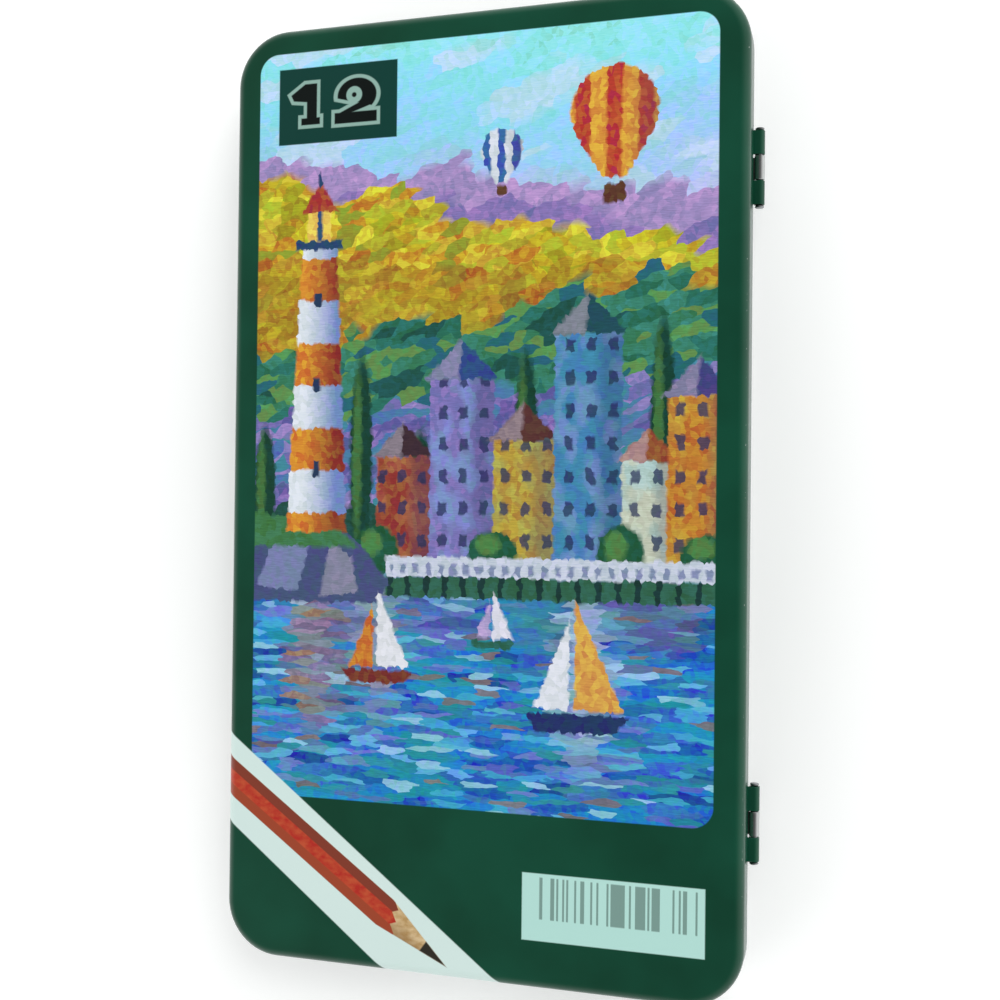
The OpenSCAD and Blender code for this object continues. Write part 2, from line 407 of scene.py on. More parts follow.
def waxy_lead(colour):
    """Pigment in wax: small lighter and darker grains, and rings from the sharpener."""
    darker = [0.7 * channel for channel in colour[:3]] + [1.0]
    paler = [0.9 * channel + 0.05 for channel in colour[:3]] + [1.0]

    def make(brush, shader):
        place = place_mm(brush)
        grains = brush.noise(place, 5.0, 3.0)
        rings = brush.noise(brush.vector("MULTIPLY", place, (0.5, 8.0, 0.5)), 1.0, 2.0)
        shade = brush.mix(brush.rescale(grains, 0.35, 0.65), darker, paler)
        relief = brush.math("ADD", grains, rings)
        connect(brush, shader, Base_Color=shade, Normal=bump(brush, relief, 0.03),
                Roughness=brush.math("MULTIPLY_ADD", grains, 0.25, 0.32))
    return make


# %% Finishes: tray and pencils

materials = frame["record"]["materials"]
slot_colour = {entry["slot"]: [*entry["base_color"], 1.0] for entry in materials}
tray_plastic = finish("tray_plastic", smooth_plastic, Specular_IOR_Level=0.55)
bare_wood = finish("bare_wood", cut_wood)
lacquers, lead_finishes = {}, {}
for colour in COLOURS:
    lacquer = dipped_lacquer(slot_colour[f"{colour}_lacquered_wood"])
    lacquers[colour] = finish(f"{colour}_lacquer", lacquer, Coat_Weight=0.5, Coat_Roughness=0.08)
    lead_finishes[colour] = finish(f"{colour}_lead", waxy_lead(slot_colour[f"{colour}_lead"]))
print("finishes for", len(lacquers), "casings and", len(lead_finishes), "leads")

# %% [markdown]
# ## Painting with nodes
# The lid carries a printed painting of a bay, laid down in short strokes. Nothing is painted by
# hand and no image is loaded: every shape is a distance in millimetres, worked out by a few nodes
# from the place on the lid, and a stroke is one cell of a Voronoi pattern. All nodes that ask a
# cell for its own middle get the same answer all over the cell, so the cell takes one colour.

# %% Helper: a picture in layers


class Picture:
    """A flat picture in layers. place is the vector (x, y, 1) in millimetres at which shapes are
    measured, and colour is what has been painted so far."""

    def __init__(self, brush, place, colour):
        self.brush = brush
        self.place = place
        self.colour = colour

    def side(self, start, end):
        """Distance to the left of the line from start to end, as a dot product with the place."""
        along = np.subtract(end, start) / np.hypot(*np.subtract(end, start))
        left = np.array([-along[1], along[0]])
        return self.brush.vector("DOT_PRODUCT", self.place, (*left, -left @ start))

    def polygon(self, *corners):
        """Distance inside a convex shape with anticlockwise corners: the nearest side's."""
        inside = self.side(corners[-1], corners[0])
        for start, end in zip(corners, corners[1:]):
            inside = self.brush.math("MINIMUM", inside, self.side(start, end))
        return inside

    def box(self, left, low, right, high):
        return self.polygon((left, low), (right, low), (right, high), (left, high))

    def ellipse(self, centre, radii):
        """About the distance inside an ellipse: (1 - length of the scaled offset) * radius."""
        scale = 1 / np.array(radii)
        offset = self.brush.vector("MULTIPLY_ADD", self.place, (*scale, 0), (*(-scale * centre), 0))
        length = self.brush.vector("LENGTH", offset)
        return self.brush.math("MULTIPLY_ADD", length, -min(radii), min(radii))

    def below(self, height, slope, waves, wavelength, seed):
        """Distance below a wavy skyline: height + slope * x + waves * noise(x) - y."""
        along = self.brush.vector("DOT_PRODUCT", self.place, (1 / wavelength, 0, seed))
        wave = self.brush.noise(along, 1.0, 2.0, 0.55, "1D")
        straight = self.brush.vector("DOT_PRODUCT", self.place, (slope, -1, height - waves / 2))
        return self.brush.math("MULTIPLY_ADD", wave, waves, straight)

    def lay(self, inside, colour, soft=0.3, strength=1.0):
        """Lays a colour where the distance is above zero, with an edge as wide as soft."""
        mask = self.brush.math("MULTIPLY_ADD", inside, 1 / soft, 0.5, clamp=True)
        if strength != 1.0:
            mask = self.brush.math("MULTIPLY", mask, strength)
        if isinstance(colour, str):
            colour = tint(colour)
        self.colour = self.brush.mix(mask, self.colour, colour)


# %% Helpers: brush strokes


def dabs(brush, place, size, turn=0.0):
    """Brush strokes of a size in millimetres: the middle of the stroke that covers the place, as
    (x, y, 1), and a random colour for each stroke."""
    settings = {"Location": (0, 0, 0), "Rotation": (0, 0, np.radians(turn)), "Scale": (*size, 1)}
    scaled = brush.node("Mapping", {"Vector": place, **settings}, vector_type="TEXTURE")
    cell = brush.node("TexVoronoi", {"Vector": scaled, "Scale": 1.0}, 2, voronoi_dimensions="2D")
    chance = cell.node.outputs["Color"]
    middle = brush.node("Mapping", {"Vector": cell, **settings}, vector_type="POINT")
    return brush.vector("MULTIPLY_ADD", middle, (1, 1, 0), (0, 0, 1)), chance


def dice(brush, chance, which):
    """One of the three random numbers, 0, 1 or 2, in a stroke's random colour."""
    return brush.node("SeparateColor", {0: chance}, which)


def blend_places(brush, middle, place, share):
    """A place between the stroke's middle and the exact one, so it keeps a little drawing."""
    away = brush.vector("SUBTRACT", middle, place)
    return brush.vector("MULTIPLY_ADD", away, (share, share, 0), place)


def ragged(brush, place, scale, reach):
    """Moves a place by up to the reach, by two noises, so that strokes get ragged edges. Both the
    noises' scale and the reach are pairs, for the directions along and across the picture."""
    spread = brush.vector("MULTIPLY", place, (*scale, 0))
    inputs = {"Vector": spread, "Scale": 1.0, "Detail": 1.0}
    shift = brush.node("TexNoise", inputs, 1, noise_dimensions="2D")
    reach = 2 * np.array(reach)
    centred = brush.vector("MULTIPLY_ADD", shift, (*reach, 0), (*(-reach / 2), 0))
    return brush.vector("ADD", place, centred)


def vary(brush, colour, chance, hue, value):
    """Changes each stroke's hue and brightness a little by its own random number."""
    chance = dice(brush, chance, 0)
    return brush.node("HueSaturation", {
        "Hue": brush.math("MULTIPLY_ADD", chance, hue, 0.5 - hue / 2),
        "Value": brush.math("MULTIPLY_ADD", chance, value, 1 - value / 2), "Color": colour})


# %% [markdown]
# ## The painting
# From the back to the front: a mint and lilac sky, far violet mountains, mustard hills that catch
# the evening light, a village with poplars, a lighthouse on the left and boats on the water. Broad
# strokes carry the sky and the hills, flat ones the water, and small ones the houses and boats.

# %% The painting: sky and hills

PANEL = (-46.6, -61.1, 46.5, 88.8)
SHORE = -13.0
SKY = ["#D3BCC4", "#B8C4EC", "#9CD0F4", "#90DCFA", "#8EE6F6", "#92ECEE"]
GOLD = ["#A8A41C", "#C4AC20", "#B7B42A", "#D4BE34", "#C99624", "#949E2C"]
WOODS = ["#1B5650", "#26705E", "#36826A", "#5C9450", "#226876"]
SLOPE = ["#5A589E", "#766EB2", "#4A7CAC", "#8A80BE", "#3F8A9C"]
print("painting:", PANEL[2] - PANEL[0], "by", round(PANEL[3] - PANEL[1], 1), "mm")


def paint_land(picture, place):
    """Sky, mountains and hills in broad slanting strokes."""
    brush = picture.brush
    middle, chance = dabs(brush, place, (5.0, 2.0), 24)
    picture.place = blend_places(brush, middle, place, 0.75)
    up = brush.part(picture.place, 1)
    drift = brush.spots(picture.place, (0.035, 0.09), 2.0)
    height = brush.rescale(brush.math("MULTIPLY_ADD", drift, 22.0, up), 58, 102)
    picture.colour = brush.ramp(height, SKY)
    flattened = brush.vector("MULTIPLY_ADD", picture.place, (0.04, 0.12, 0), (7, 3, 0))
    cloud = brush.noise(flattened, 1.0, 3.0, 0.5, "2D")
    picture.lay(brush.math("SUBTRACT", cloud, 0.58), "#C3DDF0", 0.08, 0.7)
    picture.lay(picture.below(61, -0.08, 22, 30, 1.7), "#A78FC6", 0.8)
    picture.lay(picture.below(56, -0.12, 22, 24, 4.1), "#8474B4", 0.8)
    field = brush.spots(picture.place, (0.09, 0.2), 2.0)
    field = brush.rescale(field, 0.3, 0.7)
    picture.lay(picture.below(54, -0.20, 18, 26, 8.3), brush.ramp(field, GOLD, sharp=True), 0.5)
    picture.lay(picture.below(44, -0.04, 16, 18, 2.9), "#A86E20", 0.5, 0.55)
    picture.lay(picture.below(35, 0.14, 22, 16, 5.5), brush.ramp(field, WOODS, sharp=True), 0.5)
    picture.lay(picture.below(19, 0.10, 16, 20, 9.4), brush.ramp(field, SLOPE, sharp=True), 0.5)
    picture.lay(picture.below(-4, -0.05, 10, 12, 3.3), "#1E4F45", 0.5)
    picture.colour = vary(brush, picture.colour, chance, 0.05, 0.22)


# %% [markdown]
# ### Water
# Water is two layers of flat strokes, each with a colour of its own from a list: deep blues below
# and glints above them. What stands on the shore shows in it as soft upright patches. The rows
# of `MIRRORED` say where such a patch stands, how low it reaches, how wide it is, its colour and
# how strong it is.

# %% The painting: water

WATER = ["#1060B4", "#1876CA", "#1486C8", "#2868BE", "#1892C8", "#1250A0", "#307AC6",
         "#1690B2", "#1C68B4"]
GLINTS = ["#64C0E8", "#5870BC", "#20909A", "#84705C", "#9CD6EC", "#44B0DC", "#7088CC",
          "#3878B0", "#2C9A9C"]
MIRRORED = [(-33, -48, 5.5, "#B9742C", 0.4), (-6, -30, 9, "#7468B8", 0.3),
            (14, -31, 8, "#4F7F6A", 0.35), (36, -30, 9, "#8A5A44", 0.3),
            (22, -53, 5, "#C9DEE8", 0.4), (-20, -45, 4, "#C8B48A", 0.35)]
print("colours in the water:", len(WATER), "and", len(GLINTS), "in its glints")


def paint_water(picture, place):
    """Flat strokes in two layers: deep blue ones, and smaller glints over a third of them. Things
    on the shore are mirrored as soft columns of their colour, broken up by the same strokes."""
    brush = picture.brush
    land = picture.colour
    middle, chance = dabs(brush, place, (8.0, 1.9), 2)
    water = brush.ramp(dice(brush, chance, 0), WATER, sharp=True)
    middle, chance = dabs(brush, place, (5.0, 1.05), -1)
    glints = brush.ramp(dice(brush, chance, 1), GLINTS, sharp=True)
    often = brush.rescale(dice(brush, chance, 2), 0.52, 0.6, 0.0, 0.75)
    picture.colour = brush.mix(often, water, glints)
    picture.place = middle
    for x, low, width, colour, strength in MIRRORED:
        patch = picture.ellipse(np.array([x, (low + SHORE) / 2]), (width, (SHORE - low) / 2))
        picture.lay(patch, colour, 3.0, strength)
    picture.colour = vary(brush, picture.colour, chance, 0.04, 0.3)
    picture.place = place
    shore = picture.below(SHORE + 0.5, 0.0, 2.5, 9, 6.1)
    mask = brush.math("MULTIPLY_ADD", shore, 1.6, 0.5, clamp=True)
    picture.colour = brush.mix(mask, land, picture.colour)


# %% [markdown]
# ### Village
# Each row of `HOUSES` gives a house's left side, width, wall height, two wall colours and the
# roof's colour. `TREES` gives the poplars' middle, foot and top, and `BUSHES` the bushes' middle,
# width and height. The walls are lit from the left, and the windows come from one shared grid.

# %% The painting: village

HOUSES = [(-20, 11, 20, "#964630", "#B06A4A", "#3E2A34"),
          (-9, 13, 35, "#7C74B8", "#7FA4DC", "#2C4A8A"),
          (4, 12, 23, "#B8983A", "#A8B05C", "#5A3430"),
          (16, 13, 43, "#3F86B4", "#7C9CCC", "#1C4E5A"),
          (29, 10, 19, "#C4CCB8", "#9CC8CC", "#94502E"),
          (37.5, 12, 31, "#C07A2C", "#C4A23C", "#3E4080")]
TREES = [(-23.5, -14, 27), (-44.5, -14, 13), (10.4, -14, 27), (36.6, -14, 33), (-11, -14, 12)]
BUSHES = [(-20, 4.5, 5), (4, 5, 4), (29, 4.5, 5.5), (45, 5, 4)]
QUAY_END = 47.6
print("houses:", len(HOUSES), "poplars:", len(TREES), "bushes:", len(BUSHES))


def paint_poplars(picture):
    """Tall dark ellipses, each with a narrower lit one towards the light."""
    for x, low, high in TREES:
        middle = np.array([x, (low + high) / 2])
        radii = np.array([2.4, (high - low) / 2])
        picture.lay(picture.ellipse(middle, radii), "#0F4234", 0.5)
        picture.lay(picture.ellipse(middle - [0.8, -1], radii * [0.4, 0.8]), "#4C8440", 0.6, 0.7)


def paint_houses(picture):
    """A row of gabled houses. A pane shows where two zigzags, one of x and one of y, both peak."""
    brush = picture.brush
    across = brush.part(picture.place, 0)
    up = brush.part(picture.place, 1)
    column = brush.rescale(brush.math("PINGPONG", across, 2.1), 1.15, 1.35)
    storey = brush.rescale(brush.math("PINGPONG", up, 3.1), 1.75, 2.0)
    pane = brush.math("MULTIPLY", brush.math("MULTIPLY", column, storey), 0.85)
    patch = brush.spots(picture.place, (0.22, 0.14), 1.0)
    patch = brush.rescale(patch, 0.45, 0.62, 0.0, 0.6)
    for left, width, high, wall, second, roof in HOUSES:
        right = left + width
        top = SHORE + high
        dim = brush.rescale(across, left + 0.55 * width, left + 0.75 * width, 0.0, 0.35)
        front = brush.mix(patch, tint(wall), tint(second))
        front = brush.mix(dim, front, tint("#2A2F5C"))
        front = brush.mix(pane, front, tint("#24325C"))
        picture.lay(picture.box(left, SHORE - 1, right, top), front)
        peak = ((left + right) / 2, top + 0.6 * width)
        picture.lay(picture.polygon((left - 1, top), (right + 1, top), peak), roof)
        slope = picture.polygon((left - 1, top), (left + 0.45 * width, top), peak)
        picture.lay(slope, "#D9CFE0", 0.6, 0.3)


def paint_quay(picture):
    """Bushes, then a pale wall with small arches on green posts. The arches and the posts are
    zigzags of x too."""
    brush = picture.brush
    across = brush.part(picture.place, 0)
    for x, width, high in BUSHES:
        bush = picture.ellipse(np.array([x, SHORE + 1.5]), (width, high))
        lit = picture.ellipse(np.array([x - 1, SHORE + 3]), (width / 2, high / 2))
        picture.lay(bush, "#1B5A3E", 0.6)
        picture.lay(lit, "#5C9148", 0.8, 0.7)
    picture.lay(picture.box(-18, -16.4, QUAY_END, -12.6), "#C6D0E0")
    arches = brush.math("SUBTRACT", brush.math("PINGPONG", across, 1.3), 0.7)
    arches = brush.math("MINIMUM", arches, picture.box(-17, -15.9, QUAY_END, -14.0))
    picture.lay(arches, "#5C6F9E", 0.3, 0.75)
    posts = brush.math("GREATER_THAN", brush.math("PINGPONG", across, 1.9), 1.35)
    quay = brush.mix(posts, tint("#2F6650"), tint("#173A38"))
    picture.lay(picture.box(-18, -20.5, QUAY_END, -16.4), quay)


# %% [markdown]
# ### Lighthouse, boats and balloons
# These are the lively spots. Each is a few convex shapes laid over one another, back to front.

# %% The painting: lighthouse

TOWER_FOOT = -8
TOWER_TOP = 49
WINDOWS = (3, 20, 37)
print("lighthouse tower:", TOWER_TOP - TOWER_FOOT, "mm with windows at", WINDOWS)


def paint_lighthouse(picture):
    """A tapered tower on a rock, banded in pale blue and orange, with a gallery, a lamp room and
    a pointed roof."""
    brush = picture.brush
    rock = picture.polygon((-48, -22), (-20, -22), (-17, -18), (-24, -10), (-30, -6), (-48, -7))
    picture.lay(rock, "#45527E", 0.4)
    lit_face = picture.polygon((-46, -19), (-37, -20), (-34, -9), (-42, -9))
    picture.lay(lit_face, "#7783AE", 0.4)
    far_face = picture.polygon((-32, -21), (-24, -20), (-25, -13), (-30, -10))
    picture.lay(far_face, "#8F8FA8", 0.4, 0.8)
    grass = picture.polygon((-48, -11), (-24, -11), (-29, -6.5), (-48, -4))
    picture.lay(grass, "#3E7A4A", 0.6)
    up = brush.part(picture.place, 1)
    across = brush.part(picture.place, 0)
    band = brush.rescale(brush.math("PINGPONG", up, 8.5), 4.1, 4.4)
    lit = brush.rescale(across, -36, -29)
    pale = brush.mix(lit, tint("#DDE6EE"), tint("#6F8CC4"))
    warm = brush.mix(lit, tint("#D98A2C"), tint("#8E3F26"))
    tower = picture.polygon((-39.5, TOWER_FOOT), (-26.5, TOWER_FOOT),
                            (-29.2, TOWER_TOP), (-36.8, TOWER_TOP))
    picture.lay(tower, brush.mix(band, pale, warm))
    for y in WINDOWS:
        picture.lay(picture.box(-33.9, y, -32.5, y + 2.8), "#24365C")
    picture.lay(picture.box(-38.2, 48.6, -27.8, 50.6), "#234470")
    picture.lay(picture.box(-35.6, 50.4, -30.4, 56.4), "#E8C658")
    picture.lay(picture.box(-33.5, 50.4, -32.5, 56.4), "#2A5078")
    picture.lay(picture.polygon((-37, 56.2), (-29, 56.2), (-33, 62)), "#A83E2C")
    picture.lay(picture.box(-33.3, 61, -32.7, 64.5), "#234470")


# %% The painting: boats and balloons

BALLOONS = [(27, 72, 8.5, "#B93A2A", "#DDA03A"), (5, 66, 4.2, "#3560AC", "#D5DEE8")]
BOATS = [(-20, -36, 1.0, "#DFE3EA", "#CC7A2C", "#7A3428"),
         (20, -43, 1.35, "#D9A24A", "#DDE3EC", "#203468"),
         (4, -29, 0.6, "#DCDDEB", "#B3A2D2", "#286656")]
print("balloons:", len(BALLOONS), "boats:", len(BOATS))


def paint_boat(picture, x, y, size, sail, jib, hull):
    """A boat with two sails: two triangles and a hull with slanted ends."""
    def at(right, up):
        return x + size * right, y + size * up
    picture.lay(picture.polygon(at(0.3, 1.6), at(7.2, 1.6), at(0.3, 17)), sail)
    picture.lay(picture.polygon(at(-5.6, 1.6), at(-0.5, 1.6), at(-0.5, 14)), jib)
    picture.lay(picture.polygon(at(-5.2, -1.6), at(6, -1.6), at(8, 1), at(-7.2, 1)), hull)


def paint_balloon(picture, x, y, radius, first, second):
    """A striped balloon: a round top, a tapering foot and a basket."""
    brush = picture.brush
    across = brush.vector("DOT_PRODUCT", picture.place, (1 / radius, 0, -x / radius))
    stripe = brush.rescale(brush.math("PINGPONG", across, 0.36), 0.15, 0.2)
    cloth = brush.mix(stripe, tint(first), tint(second))
    cloth = brush.mix(brush.rescale(across, 0.2, 1.0, 0.0, 0.4), cloth, tint("#4A2A50"))

    def at(right, up):
        return x + radius * right, y + radius * up
    foot = picture.polygon(at(-0.25, -1.5), at(0.25, -1.5), at(0.93, -0.4), at(-0.93, -0.4))
    top = picture.ellipse(np.array([x, y]), (radius, radius))
    picture.lay(brush.math("MAXIMUM", foot, top), cloth)
    picture.lay(picture.box(*at(-0.24, -2.05), *at(0.24, -1.62)), "#5E3A28")


def paint_near(picture, place):
    """Everything close by, in small upright strokes."""
    brush = picture.brush
    middle, chance = dabs(brush, place, (0.9, 1.2), 12)
    picture.place = blend_places(brush, middle, place, 0.5)
    for balloon in BALLOONS:
        paint_balloon(picture, *balloon)
    paint_poplars(picture)
    paint_houses(picture)
    paint_quay(picture)
    paint_lighthouse(picture)
    for boat in BOATS:
        paint_boat(picture, *boat)
    picture.colour = vary(brush, picture.colour, chance, 0.05, 0.22)


# %% [markdown]
# ## Border, number and band
# Round the painting the lid is dark green. A small panel tells how many pencils there are, a white
# corner band shows one of them, and a white label carries a few bars that stand for nothing.

# %% The number and the label

GREEN = "#023D35"
NUMBER_PANEL = (-42.3, 70.2, -16.7, 85.6)
LABEL = (10.6, -84.7, 45.2, -72)
BARS = (13.9, -80.7, 44.2, -72.6)
BARS_PER_MM = 2.6
print("label:", round(LABEL[2] - LABEL[0], 1), "by", round(LABEL[3] - LABEL[1], 1), "mm")


def paint_number(picture):
    """The number 12 in near-black with a pale outline. The outline is the same distance as the
    digits, laid a little wider and first. The 2 curls round a pale eye with a dark pupil."""
    brush = picture.brush
    picture.lay(picture.box(*NUMBER_PANEL), GREEN, 0.2)
    stem = picture.box(-36.2, 74.4, -34.0, 82.3)
    flag = picture.polygon((-36.0, 78.6), (-35.3, 82.3), (-36.6, 82.3), (-39.7, 80.2),
                           (-39.1, 79.0))
    foot = picture.box(-37.4, 74.0, -33.3, 75.4)
    one = brush.math("MAXIMUM", brush.math("MAXIMUM", stem, flag), foot)
    bowl = picture.ellipse(np.array([-25.3, 79.2]), (4.2, 3.45))
    bowl = brush.math("MINIMUM", bowl, picture.side((-29.9, 78.9), (-22.5, 77.0)))
    slant = picture.polygon((-29.2, 74.9), (-21.9, 77.2), (-21.6, 79.1), (-29.0, 75.9))
    base = picture.box(-30.1, 73.7, -21.0, 75.9)
    two = brush.math("MAXIMUM", brush.math("MAXIMUM", bowl, slant), base)
    both = brush.math("MAXIMUM", one, two)
    picture.lay(brush.math("ADD", both, 0.7), "#8FB3A8", 0.2)
    picture.lay(both, "#020C0A", 0.2)
    eye = picture.ellipse(np.array([-25.9, 79.3]), (1.7, 1.7))
    picture.lay(eye, "#8FB3A8", 0.2)
    picture.lay(brush.math("SUBTRACT", eye, 1.2), "#020C0A", 0.2)


def paint_label(picture):
    """A white label with upright bars. One random number for each step along the label decides
    between ink and paper."""
    brush = picture.brush
    picture.lay(picture.box(*LABEL), "#B6E2D9", 0.2)
    across = brush.part(picture.place, 0)
    step = brush.math("FLOOR", brush.math("MULTIPLY", across, BARS_PER_MM))
    ink = brush.node("TexWhiteNoise", {"W": step}, 0, noise_dimensions="1D")
    ink = brush.math("GREATER_THAN", ink, 0.5)
    inside = brush.math("MULTIPLY", picture.box(*BARS), ink)
    picture.lay(brush.math("SUBTRACT", inside, 0.1), "#5C7870", 0.2, 0.75)


# %% [markdown]
# ### The corner band
# A lid is printed while its sheet is still flat, so the band runs on over the bend and down the
# skirt. Distances that use only x and y do the same on the finished shape.

# %% The corner band

TIP_AT = np.array([-4.9, -91.3])
BAND_PENCIL = np.array([47.0, -33.9]) / np.hypot(47.0, 33.9)
PAINT_END = 13.6
POINT = 5.4
print("the band's pencil points", BAND_PENCIL.round(3), "with its tip at", TIP_AT)


def paint_band(picture):
    """A white band across the corner, and on it a red pencil: along is the distance back from
    its tip and across the distance from its axis. The wood is a wedge, the paint starts in three
    scallops behind it, and the lead is the wedge's point."""
    brush = picture.brush
    upper = picture.side((6.5, -94), (-51, -49.5))
    lower = picture.side((-51, -67.4), (-17, -94))
    picture.lay(brush.math("MINIMUM", upper, lower), "#D6EBE6", 0.25)
    back = -BAND_PENCIL
    left = np.array([-BAND_PENCIL[1], BAND_PENCIL[0]])
    along = brush.vector("DOT_PRODUCT", picture.place, (*back, -back @ TIP_AT))
    across = brush.vector("DOT_PRODUCT", picture.place, (*left, -left @ TIP_AT))
    reach = brush.math("MINIMUM", brush.math("MULTIPLY_ADD", along, 0.2, 0.1), 3.15)
    inside = brush.math("SUBTRACT", reach, brush.math("ABSOLUTE", across))
    streak = brush.noise(brush.vector("MULTIPLY", picture.place, (0.5, 0.8, 0)), 1.0, 3.0)
    streak = brush.rescale(streak, 0.35, 0.65)
    wood = brush.mix(streak, tint("#DCC296"), tint("#B8955F"))
    wood = brush.mix(brush.rescale(across, 0.8, -1.8, 0.0, 0.65), wood, tint("#8A6436"))
    picture.lay(inside, wood, 0.2)
    facet = brush.math("PINGPONG", brush.math("ADD", across, 1.1), 1.1)
    slant = brush.math("MULTIPLY_ADD", across, 0.45, PAINT_END)
    paint_from = brush.math("MULTIPLY_ADD", facet, -1.2, slant)
    body = brush.math("MINIMUM", inside, brush.math("SUBTRACT", along, paint_from))
    red = brush.mix(streak, tint("#B4281C"), tint("#C2502E"))
    red = brush.mix(brush.rescale(across, 1.1, 1.25), red, tint("#843A28"))
    red = brush.mix(brush.rescale(across, -1.25, -1.1), tint("#A04428"), red)
    picture.lay(body, red, 0.2)
    point = brush.math("MINIMUM", inside, brush.math("SUBTRACT", POINT, along))
    picture.lay(point, "#2E2A22", 0.25)


# %% [markdown]
# ### The whole print
# The border's rounded rectangle cuts the painting off, and the panel, the label and the band lie
# on top. One thin varnish covers everything. It ripples very slightly, and along the bend, where
# the press stretches it most, a few tiny specks are bare.

# %% The lid's print

PANEL_CORNER = 4.0
WORN_Z = 13.2
NARROW = 1.6


def outside_panel(picture, spot):
    """Distance outside the painting's rounded rectangle: the length of what is left of the
    distances along x and y past the corners' middles, less the corner's radius."""
    brush = picture.brush
    left, low, right, high = PANEL
    middle = ((left + right) / 2, (low + high) / 2, 0)
    reach = ((right - left) / 2 - PANEL_CORNER, (high - low) / 2 - PANEL_CORNER, 0)
    outside = brush.vector("ABSOLUTE", brush.vector("SUBTRACT", spot, middle))
    outside = brush.vector("MAXIMUM", brush.vector("SUBTRACT", outside, reach), (0, 0, 0))
    outside = brush.vector("MULTIPLY", outside, (1, 1, 0))
    return brush.math("SUBTRACT", brush.vector("LENGTH", outside), PANEL_CORNER)


def bare_specks(brush, spot):
    """Bare metal where a coarse noise peaks, close to one height on the lid's bend: the noise is
    multiplied by 1 - distance from that height * how narrow the strip is."""
    worn = brush.noise(spot, 1.1, 4.0, 0.65)
    height = brush.part(spot, 2)
    away = brush.math("ABSOLUTE", brush.math("SUBTRACT", height, WORN_Z))
    bend = brush.math("SUBTRACT", 1.0, brush.math("MULTIPLY", away, NARROW), clamp=True)
    return brush.rescale(brush.math("MULTIPLY", worn, bend), 0.60, 0.66)


def lid_ink(with_painting):
    """The varnished print. The skirt has no painting, so its finish leaves those nodes out."""
    def make(brush, shader):
        spot = place_mm(brush)
        place = brush.vector("MULTIPLY_ADD", spot, (1, 1, 0), (0, 0, 1))
        mottle = brush.noise(spot, 0.05, 3.0)
        border = brush.mix(brush.rescale(mottle, 0.35, 0.65), tint("#033F2B"), tint("#074A35"))
        picture = Picture(brush, place, border)
        if with_painting:
            paint_land(picture, ragged(brush, place, (0.4, 0.4), (0.7, 0.7)))
            paint_water(picture, ragged(brush, place, (0.3, 0.8), (1.9, 0.5)))
            paint_near(picture, ragged(brush, place, (0.8, 0.8), (0.25, 0.25)))
            bristles = brush.spots(place, (0.45, 4.5), 2.0, 0.6)
            picture.colour = brush.mix(0.35, picture.colour, bristles, "OVERLAY")
            picture.place = place
            picture.lay(outside_panel(picture, spot), border, 0.2)
            paint_number(picture)
            paint_label(picture)
        paint_band(picture)
        wear = bare_specks(brush, spot)
        colour = brush.mix(wear, picture.colour, tint("#A9B1AE"))
        wave = brush.noise(spot, 0.035, 2.0)
        fine = brush.noise(spot, 2.2, 2.0)
        relief = brush.math("MULTIPLY_ADD", fine, 0.02, wave)
        connect(brush, shader, Base_Color=colour, Metallic=wear, Normal=bump(brush, relief, 0.25),
                Roughness=brush.math("MULTIPLY_ADD", fine, 0.14, 0.27))
    return make


VARNISH = {"Specular_IOR_Level": 0.3, "Coat_Weight": 0.25, "Coat_Roughness": 0.08}
lid_print = finish("printed_lid", lid_ink(True), **VARNISH)
skirt_print = finish("printed_skirt", lid_ink(False), **VARNISH)
print("nodes in the lid's print:", len(lid_print.node_tree.nodes))

# %% [markdown]
# ## The lid
# A press draws the lid from one sheet, so its profile is the same all round: a flat top, a bend of
# 2 mm, a straight skirt, and a hem folded inwards, which makes the edge stiff and safe to touch.
# Carrying that profile round the outline gives both faces of the sheet in one closed surface. The
# printed face of the sheet is the outer one, so after the fold the hem shows print on the inside.

# %% Shape of the lid

LID_LOW = HINGE[1]
HEM_TOP = LID_LOW + 1.5
HEM_INSET = 2 * SHEET
DIMPLE_DEPTH = 0.28
DIMPLE_Y = 45.0
DIMPLE_Z = 10.5
DIMPLE_REACH = 1.25
BEND_END = 16


def lid_profile():
    """Distance in from the outline, and height. The printed face runs from the middle of the top
    over the bend, down the skirt and round the fold to the hem's edge. The bare face runs back."""
    bend = [LID_BEND, HEIGHT - LID_BEND]
    skirt = np.linspace(HEIGHT - LID_BEND - 0.3, LID_LOW + SHEET + 0.2, 13)
    printed = np.concatenate([
        [[LID_CORNER - 1, HEIGHT], [LID_BEND + 0.8, HEIGHT]],
        arc(bend, LID_BEND, 90, 180, 12), np.stack([0 * skirt, skirt], axis=1),
        arc([SHEET, LID_LOW + SHEET], SHEET, 180, 360), [[HEM_INSET, HEM_TOP - 0.1]]])
    wall = np.linspace(HEM_TOP + 0.1, HEIGHT - LID_BEND, 9)
    bare = np.concatenate([
        [[HEM_INSET - 0.08, HEM_TOP], [SHEET + 0.05, HEM_TOP]],
        np.stack([0 * wall + SHEET, wall], axis=1), arc(bend, LID_BEND - SHEET, 172, 90, 10),
        [[LID_BEND + 0.8, HEIGHT - SHEET], [LID_CORNER - 1, HEIGHT - SHEET]]])
    return printed, bare


def press_dimples(grid):
    """Pushes the front skirt inwards by the depth times exp(-(distance / reach)^4)."""
    x, y, z = np.moveaxis(grid, -1, 0)
    skirt = x < -LID_HALF[0] + 1.5 * SHEET
    for side in (-1, 1):
        distance = np.hypot(y - side * DIMPLE_Y, z - DIMPLE_Z)
        x += skirt * DIMPLE_DEPTH * np.exp(-(distance / DIMPLE_REACH) ** 4)


